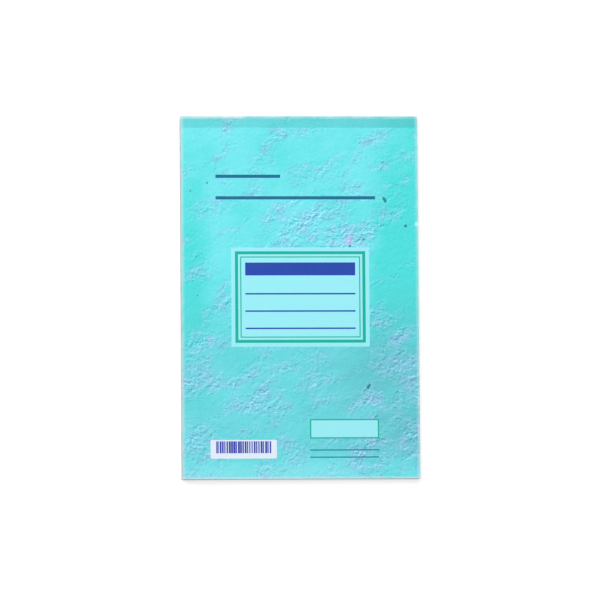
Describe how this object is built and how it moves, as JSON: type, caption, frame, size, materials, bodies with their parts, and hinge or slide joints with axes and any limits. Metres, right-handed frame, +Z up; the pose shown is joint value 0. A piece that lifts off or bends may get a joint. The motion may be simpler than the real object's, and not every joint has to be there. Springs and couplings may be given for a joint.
{
  "type": "duplicate receipt book",
  "caption": "Portrait pad of carbon-copy receipt sets, stapled and glued at the head in a turquoise wrap-around card cover on a grey board; cover and leaves turn, slip tears off.",
  "frame": {"origin": "on the table under the middle of the book's box", "axes": "+X across the page to the right, +Y up the page to the bound head, +Z up out of the cover"},
  "size_m": [0.11, 0.168, 0.0084],
  "materials": {
    "cover_card": "satin",
    "grey_board": "matte",
    "original_paper": "matte",
    "duplicate_paper": "matte",
    "carbon_coat": "satin",
    "staple_wire": "satin",
    "binding_glue": "satin"
  },
  "bodies": {
    "bound_block": {"back_board": "grey_board", "bound_margins": "original_paper", "binding_staples": "staple_wire", "head_glue_film": "binding_glue", "cover_wrap": "cover_card"},
    "cover": {"front_cover": "cover_card"},
    "original_01": {"original_stub_01": "original_paper"},
    "slip_01": {"original_slip_01": "original_paper"},
    "carbon": {"carbon_sheet": "carbon_coat"},
    "duplicate_01": {"duplicate_sheet_01": "duplicate_paper"},
    "set_02": {"sheet_set_02": "original_paper"},
    "set_03": {"sheet_set_03": "original_paper"},
    "set_04": {"sheet_set_04": "original_paper"},
    "set_05": {"sheet_set_05": "original_paper"},
    "set_06": {"sheet_set_06": "original_paper"},
    "set_07": {"sheet_set_07": "original_paper"},
    "set_08": {"sheet_set_08": "original_paper"},
    "set_09": {"sheet_set_09": "original_paper"},
    "set_10": {"sheet_set_10": "original_paper"},
    "set_11": {"sheet_set_11": "original_paper"},
    "set_12": {"sheet_set_12": "original_paper"},
    "set_13": {"sheet_set_13": "original_paper"},
    "set_14": {"sheet_set_14": "original_paper"},
    "set_15": {"sheet_set_15": "original_paper"},
    "set_16": {"sheet_set_16": "original_paper"},
    "set_17": {"sheet_set_17": "original_paper"},
    "set_18": {"sheet_set_18": "original_paper"},
    "set_19": {"sheet_set_19": "original_paper"},
    "set_20": {"sheet_set_20": "original_paper"},
    "set_21": {"sheet_set_21": "original_paper"},
    "set_22": {"sheet_set_22": "original_paper"},
    "set_23": {"sheet_set_23": "original_paper"},
    "set_24": {"sheet_set_24": "original_paper"},
    "set_25": {"sheet_set_25": "original_paper"},
    "set_26": {"sheet_set_26": "original_paper"},
    "set_27": {"sheet_set_27": "original_paper"},
    "set_28": {"sheet_set_28": "original_paper"},
    "set_29": {"sheet_set_29": "original_paper"},
    "set_30": {"sheet_set_30": "original_paper"},
    "set_31": {"sheet_set_31": "original_paper"},
    "set_32": {"sheet_set_32": "original_paper"},
    "set_33": {"sheet_set_33": "original_paper"},
    "set_34": {"sheet_set_34": "original_paper"},
    "set_35": {"sheet_set_35": "original_paper"},
    "set_36": {"sheet_set_36": "original_paper"},
    "set_37": {"sheet_set_37": "original_paper"},
    "set_38": {"sheet_set_38": "original_paper"},
    "set_39": {"sheet_set_39": "original_paper"},
    "set_40": {"sheet_set_40": "original_paper"},
    "set_41": {"sheet_set_41": "original_paper"},
    "set_42": {"sheet_set_42": "original_paper"},
    "set_43": {"sheet_set_43": "original_paper"},
    "set_44": {"sheet_set_44": "original_paper"},
    "set_45": {"sheet_set_45": "original_paper"},
    "set_46": {"sheet_set_46": "original_paper"},
    "set_47": {"sheet_set_47": "original_paper"},
    "set_48": {"sheet_set_48": "original_paper"},
    "set_49": {"sheet_set_49": "original_paper"},
    "set_50": {"sheet_set_50": "original_paper"}
  },
  "joints": [
    {"name": "cover_hinge", "type": "hinge", "parent": "bound_block", "child": "cover", "pos_m": [0, 0.0787, 0.00838], "axis": [-1, 0, 0], "range_deg": [0, 175]},
    {"name": "original_01_turn", "type": "hinge", "parent": "bound_block", "child": "original_01", "pos_m": [0, 0.0787, 0.00838], "axis": [-1, 0, 0], "range_deg": [0, 171.63]},
    {"name": "duplicate_01_turn", "type": "hinge", "parent": "bound_block", "child": "duplicate_01", "pos_m": [0, 0.0787, 0.00838], "axis": [-1, 0, 0], "range_deg": [0, 168.27]},
    {"name": "set_02_turn", "type": "hinge", "parent": "bound_block", "child": "set_02", "pos_m": [0, 0.0787, 0.00838], "axis": [-1, 0, 0], "range_deg": [0, 164.9]},
    {"name": "set_03_turn", "type": "hinge", "parent": "bound_block", "child": "set_03", "pos_m": [0, 0.0787, 0.00838], "axis": [-1, 0, 0], "range_deg": [0, 161.54]},
    {"name": "set_04_turn", "type": "hinge", "parent": "bound_block", "child": "set_04", "pos_m": [0, 0.0787, 0.00838], "axis": [-1, 0, 0], "range_deg": [0, 158.17]},
    {"name": "set_05_turn", "type": "hinge", "parent": "bound_block", "child": "set_05", "pos_m": [0, 0.0787, 0.00838], "axis": [-1, 0, 0], "range_deg": [0, 154.81]},
    {"name": "set_06_turn", "type": "hinge", "parent": "bound_block", "child": "set_06", "pos_m": [0, 0.0787, 0.00838], "axis": [-1, 0, 0], "range_deg": [0, 151.44]},
    {"name": "set_07_turn", "type": "hinge", "parent": "bound_block", "child": "set_07", "pos_m": [0, 0.0787, 0.00838], "axis": [-1, 0, 0], "range_deg": [0, 148.08]},
    {"name": "set_08_turn", "type": "hinge", "parent": "bound_block", "child": "set_08", "pos_m": [0, 0.0787, 0.00838], "axis": [-1, 0, 0], "range_deg": [0, 144.71]},
    {"name": "set_09_turn", "type": "hinge", "parent": "bound_block", "child": "set_09", "pos_m": [0, 0.0787, 0.00838], "axis": [-1, 0, 0], "range_deg": [0, 141.35]},
    {"name": "set_10_turn", "type": "hinge", "parent": "bound_block", "child": "set_10", "pos_m": [0, 0.0787, 0.00838], "axis": [-1, 0, 0], "range_deg": [0, 137.98]},
    {"name": "set_11_turn", "type": "hinge", "parent": "bound_block", "child": "set_11", "pos_m": [0, 0.0787, 0.00838], "axis": [-1, 0, 0], "range_deg": [0, 134.62]},
    {"name": "set_12_turn", "type": "hinge", "parent": "bound_block", "child": "set_12", "pos_m": [0, 0.0787, 0.00838], "axis": [-1, 0, 0], "range_deg": [0, 131.25]},
    {"name": "set_13_turn", "type": "hinge", "parent": "bound_block", "child": "set_13", "pos_m": [0, 0.0787, 0.00838], "axis": [-1, 0, 0], "range_deg": [0, 127.88]},
    {"name": "set_14_turn", "type": "hinge", "parent": "bound_block", "child": "set_14", "pos_m": [0, 0.0787, 0.00838], "axis": [-1, 0, 0], "range_deg": [0, 124.52]},
    {"name": "set_15_turn", "type": "hinge", "parent": "bound_block", "child": "set_15", "pos_m": [0, 0.0787, 0.00838], "axis": [-1, 0, 0], "range_deg": [0, 121.15]},
    {"name": "set_16_turn", "type": "hinge", "parent": "bound_block", "child": "set_16", "pos_m": [0, 0.0787, 0.00838], "axis": [-1, 0, 0], "range_deg": [0, 117.79]},
    {"name": "set_17_turn", "type": "hinge", "parent": "bound_block", "child": "set_17", "pos_m": [0, 0.0787, 0.00838], "axis": [-1, 0, 0], "range_deg": [0, 114.42]},
    {"name": "set_18_turn", "type": "hinge", "parent": "bound_block", "child": "set_18", "pos_m": [0, 0.0787, 0.00838], "axis": [-1, 0, 0], "range_deg": [0, 111.06]},
    {"name": "set_19_turn", "type": "hinge", "parent": "bound_block", "child": "set_19", "pos_m": [0, 0.0787, 0.00838], "axis": [-1, 0, 0], "range_deg": [0, 107.69]},
    {"name": "set_20_turn", "type": "hinge", "parent": "bound_block", "child": "set_20", "pos_m": [0, 0.0787, 0.00838], "axis": [-1, 0, 0], "range_deg": [0, 104.33]},
    {"name": "set_21_turn", "type": "hinge", "parent": "bound_block", "child": "set_21", "pos_m": [0, 0.0787, 0.00838], "axis": [-1, 0, 0], "range_deg": [0, 100.96]},
    {"name": "set_22_turn", "type": "hinge", "parent": "bound_block", "child": "set_22", "pos_m": [0, 0.0787, 0.00838], "axis": [-1, 0, 0], "range_deg": [0, 97.6]},
    {"name": "set_23_turn", "type": "hinge", "parent": "bound_block", "child": "set_23", "pos_m": [0, 0.0787, 0.00838], "axis": [-1, 0, 0], "range_deg": [0, 94.23]},
    {"name": "set_24_turn", "type": "hinge", "parent": "bound_block", "child": "set_24", "pos_m": [0, 0.0787, 0.00838], "axis": [-1, 0, 0], "range_deg": [0, 90.87]},
    {"name": "set_25_turn", "type": "hinge", "parent": "bound_block", "child": "set_25", "pos_m": [0, 0.0787, 0.00838], "axis": [-1, 0, 0], "range_deg": [0, 87.5]},
    {"name": "set_26_turn", "type": "hinge", "parent": "bound_block", "child": "set_26", "pos_m": [0, 0.0787, 0.00838], "axis": [-1, 0, 0], "range_deg": [0, 84.13]},
    {"name": "set_27_turn", "type": "hinge", "parent": "bound_block", "child": "set_27", "pos_m": [0, 0.0787, 0.00838], "axis": [-1, 0, 0], "range_deg": [0, 80.77]},
    {"name": "set_28_turn", "type": "hinge", "parent": "bound_block", "child": "set_28", "pos_m": [0, 0.0787, 0.00838], "axis": [-1, 0, 0], "range_deg": [0, 77.4]},
    {"name": "set_29_turn", "type": "hinge", "parent": "bound_block", "child": "set_29", "pos_m": [0, 0.0787, 0.00838], "axis": [-1, 0, 0], "range_deg": [0, 74.04]},
    {"name": "set_30_turn", "type": "hinge", "parent": "bound_block", "child": "set_30", "pos_m": [0, 0.0787, 0.00838], "axis": [-1, 0, 0], "range_deg": [0, 70.67]},
    {"name": "set_31_turn", "type": "hinge", "parent": "bound_block", "child": "set_31", "pos_m": [0, 0.0787, 0.00838], "axis": [-1, 0, 0], "range_deg": [0, 67.31]},
    {"name": "set_32_turn", "type": "hinge", "parent": "bound_block", "child": "set_32", "pos_m": [0, 0.0787, 0.00838], "axis": [-1, 0, 0], "range_deg": [0, 63.94]},
    {"name": "set_33_turn", "type": "hinge", "parent": "bound_block", "child": "set_33", "pos_m": [0, 0.0787, 0.00838], "axis": [-1, 0, 0], "range_deg": [0, 60.58]},
    {"name": "set_34_turn", "type": "hinge", "parent": "bound_block", "child": "set_34", "pos_m": [0, 0.0787, 0.00838], "axis": [-1, 0, 0], "range_deg": [0, 57.21]},
    {"name": "set_35_turn", "type": "hinge", "parent": "bound_block", "child": "set_35", "pos_m": [0, 0.0787, 0.00838], "axis": [-1, 0, 0], "range_deg": [0, 53.85]},
    {"name": "set_36_turn", "type": "hinge", "parent": "bound_block", "child": "set_36", "pos_m": [0, 0.0787, 0.00838], "axis": [-1, 0, 0], "range_deg": [0, 50.48]},
    {"name": "set_37_turn", "type": "hinge", "parent": "bound_block", "child": "set_37", "pos_m": [0, 0.0787, 0.00838], "axis": [-1, 0, 0], "range_deg": [0, 47.12]},
    {"name": "set_38_turn", "type": "hinge", "parent": "bound_block", "child": "set_38", "pos_m": [0, 0.0787, 0.00838], "axis": [-1, 0, 0], "range_deg": [0, 43.75]},
    {"name": "set_39_turn", "type": "hinge", "parent": "bound_block", "child": "set_39", "pos_m": [0, 0.0787, 0.00838], "axis": [-1, 0, 0], "range_deg": [0, 40.38]},
    {"name": "set_40_turn", "type": "hinge", "parent": "bound_block", "child": "set_40", "pos_m": [0, 0.0787, 0.00838], "axis": [-1, 0, 0], "range_deg": [0, 37.02]},
    {"name": "set_41_turn", "type": "hinge", "parent": "bound_block", "child": "set_41", "pos_m": [0, 0.0787, 0.00838], "axis": [-1, 0, 0], "range_deg": [0, 33.65]},
    {"name": "set_42_turn", "type": "hinge", "parent": "bound_block", "child": "set_42", "pos_m": [0, 0.0787, 0.00838], "axis": [-1, 0, 0], "range_deg": [0, 30.29]},
    {"name": "set_43_turn", "type": "hinge", "parent": "bound_block", "child": "set_43", "pos_m": [0, 0.0787, 0.00838], "axis": [-1, 0, 0], "range_deg": [0, 26.92]},
    {"name": "set_44_turn", "type": "hinge", "parent": "bound_block", "child": "set_44", "pos_m": [0, 0.0787, 0.00838], "axis": [-1, 0, 0], "range_deg": [0, 23.56]},
    {"name": "set_45_turn", "type": "hinge", "parent": "bound_block", "child": "set_45", "pos_m": [0, 0.0787, 0.00838], "axis": [-1, 0, 0], "range_deg": [0, 20.19]},
    {"name": "set_46_turn", "type": "hinge", "parent": "bound_block", "child": "set_46", "pos_m": [0, 0.0787, 0.00838], "axis": [-1, 0, 0], "range_deg": [0, 16.83]},
    {"name": "set_47_turn", "type": "hinge", "parent": "bound_block", "child": "set_47", "pos_m": [0, 0.0787, 0.00838], "axis": [-1, 0, 0], "range_deg": [0, 13.46]},
    {"name": "set_48_turn", "type": "hinge", "parent": "bound_block", "child": "set_48", "pos_m": [0, 0.0787, 0.00838], "axis": [-1, 0, 0], "range_deg": [0, 10.1]},
    {"name": "set_49_turn", "type": "hinge", "parent": "bound_block", "child": "set_49", "pos_m": [0, 0.0787, 0.00838], "axis": [-1, 0, 0], "range_deg": [0, 6.73]},
    {"name": "set_50_turn", "type": "hinge", "parent": "bound_block", "child": "set_50", "pos_m": [0, 0.0787, 0.00838], "axis": [-1, 0, 0], "range_deg": [0, 3.37]},
    {"name": "slip_tear_off", "type": "slide", "parent": "original_01", "child": "slip_01", "axis": [0, -1, 0], "range_m": [0, 0.16]},
    {"name": "carbon_pull_out", "type": "slide", "parent": "duplicate_01", "child": "carbon", "axis": [0, -1, 0], "range_m": [0, 0.16]}
  ],
  "couplings": [
    {"joint": "original_01_turn", "follows": "cover_hinge", "ratio": 0.98077},
    {"joint": "duplicate_01_turn", "follows": "cover_hinge", "ratio": 0.96154},
    {"joint": "set_02_turn", "follows": "cover_hinge", "ratio": 0.94231},
    {"joint": "set_03_turn", "follows": "cover_hinge", "ratio": 0.92308},
    {"joint": "set_04_turn", "follows": "cover_hinge", "ratio": 0.90385},
    {"joint": "set_05_turn", "follows": "cover_hinge", "ratio": 0.88462},
    {"joint": "set_06_turn", "follows": "cover_hinge", "ratio": 0.86538},
    {"joint": "set_07_turn", "follows": "cover_hinge", "ratio": 0.84615},
    {"joint": "set_08_turn", "follows": "cover_hinge", "ratio": 0.82692},
    {"joint": "set_09_turn", "follows": "cover_hinge", "ratio": 0.80769},
    {"joint": "set_10_turn", "follows": "cover_hinge", "ratio": 0.78846},
    {"joint": "set_11_turn", "follows": "cover_hinge", "ratio": 0.76923},
    {"joint": "set_12_turn", "follows": "cover_hinge", "ratio": 0.75},
    {"joint": "set_13_turn", "follows": "cover_hinge", "ratio": 0.73077},
    {"joint": "set_14_turn", "follows": "cover_hinge", "ratio": 0.71154},
    {"joint": "set_15_turn", "follows": "cover_hinge", "ratio": 0.69231},
    {"joint": "set_16_turn", "follows": "cover_hinge", "ratio": 0.67308},
    {"joint": "set_17_turn", "follows": "cover_hinge", "ratio": 0.65385},
    {"joint": "set_18_turn", "follows": "cover_hinge", "ratio": 0.63462},
    {"joint": "set_19_turn", "follows": "cover_hinge", "ratio": 0.61538},
    {"joint": "set_20_turn", "follows": "cover_hinge", "ratio": 0.59615},
    {"joint": "set_21_turn", "follows": "cover_hinge", "ratio": 0.57692},
    {"joint": "set_22_turn", "follows": "cover_hinge", "ratio": 0.55769},
    {"joint": "set_23_turn", "follows": "cover_hinge", "ratio": 0.53846},
    {"joint": "set_24_turn", "follows": "cover_hinge", "ratio": 0.51923},
    {"joint": "set_25_turn", "follows": "cover_hinge", "ratio": 0.5},
    {"joint": "set_26_turn", "follows": "cover_hinge", "ratio": 0.48077},
    {"joint": "set_27_turn", "follows": "cover_hinge", "ratio": 0.46154},
    {"joint": "set_28_turn", "follows": "cover_hinge", "ratio": 0.44231},
    {"joint": "set_29_turn", "follows": "cover_hinge", "ratio": 0.42308},
    {"joint": "set_30_turn", "follows": "cover_hinge", "ratio": 0.40385},
    {"joint": "set_31_turn", "follows": "cover_hinge", "ratio": 0.38462},
    {"joint": "set_32_turn", "follows": "cover_hinge", "ratio": 0.36538},
    {"joint": "set_33_turn", "follows": "cover_hinge", "ratio": 0.34615},
    {"joint": "set_34_turn", "follows": "cover_hinge", "ratio": 0.32692},
    {"joint": "set_35_turn", "follows": "cover_hinge", "ratio": 0.30769},
    {"joint": "set_36_turn", "follows": "cover_hinge", "ratio": 0.28846},
    {"joint": "set_37_turn", "follows": "cover_hinge", "ratio": 0.26923},
    {"joint": "set_38_turn", "follows": "cover_hinge", "ratio": 0.25},
    {"joint": "set_39_turn", "follows": "cover_hinge", "ratio": 0.23077},
    {"joint": "set_40_turn", "follows": "cover_hinge", "ratio": 0.21154},
    {"joint": "set_41_turn", "follows": "cover_hinge", "ratio": 0.19231},
    {"joint": "set_42_turn", "follows": "cover_hinge", "ratio": 0.17308},
    {"joint": "set_43_turn", "follows": "cover_hinge", "ratio": 0.15385},
    {"joint": "set_44_turn", "follows": "cover_hinge", "ratio": 0.13462},
    {"joint": "set_45_turn", "follows": "cover_hinge", "ratio": 0.11538},
    {"joint": "set_46_turn", "follows": "cover_hinge", "ratio": 0.096154},
    {"joint": "set_47_turn", "follows": "cover_hinge", "ratio": 0.076923},
    {"joint": "set_48_turn", "follows": "cover_hinge", "ratio": 0.057692},
    {"joint": "set_49_turn", "follows": "cover_hinge", "ratio": 0.038462},
    {"joint": "set_50_turn", "follows": "cover_hinge", "ratio": 0.019231}
  ]
}
